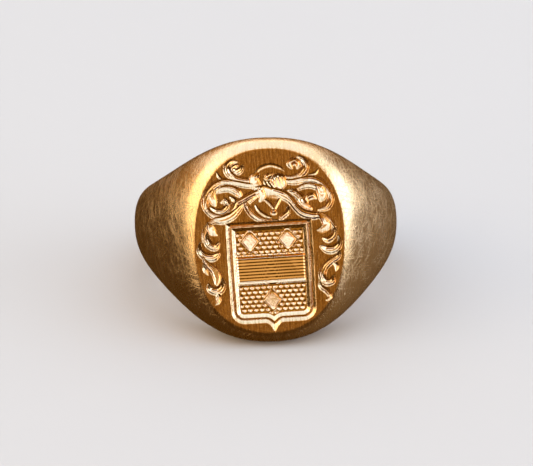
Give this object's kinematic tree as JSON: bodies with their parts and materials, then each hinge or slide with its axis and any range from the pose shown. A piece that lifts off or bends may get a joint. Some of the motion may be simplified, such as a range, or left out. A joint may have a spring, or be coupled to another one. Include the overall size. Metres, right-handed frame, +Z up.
{
  "type": "signet ring",
  "caption": "Gold signet ring lying on its side, with a flat oval engraved seal, soft rounded rim, tapering shoulders and a narrow D-section shank.",
  "frame": {"origin": "middle of the ring's bounding box on the surface that it rests on", "axes": "+Z up from the surface, +Y from the seal towards the back of the hoop, +X towards the right shoulder seen from the seal"},
  "size_m": [0.022, 0.0242, 0.0161],
  "materials": {
    "ring_gold": "18 ct yellow gold, polished and worn to a satin with fine scratches",
    "seal_gold": "18 ct yellow gold, satin flat with deep bright-cut engraving",
    "gold_solder": "gold solder, filed flush and polished with the ring"
  },
  "bodies": {
    "root": {"engraved_table": "seal_gold", "table_solder": "gold_solder", "head_body": "ring_gold", "head_solder_right": "gold_solder", "shoulder_right": "ring_gold", "shank_solder_right": "gold_solder", "head_solder_left": "gold_solder", "shoulder_left": "ring_gold", "shank_solder_left": "gold_solder", "shank": "ring_gold"}
  },
  "joints": []
}
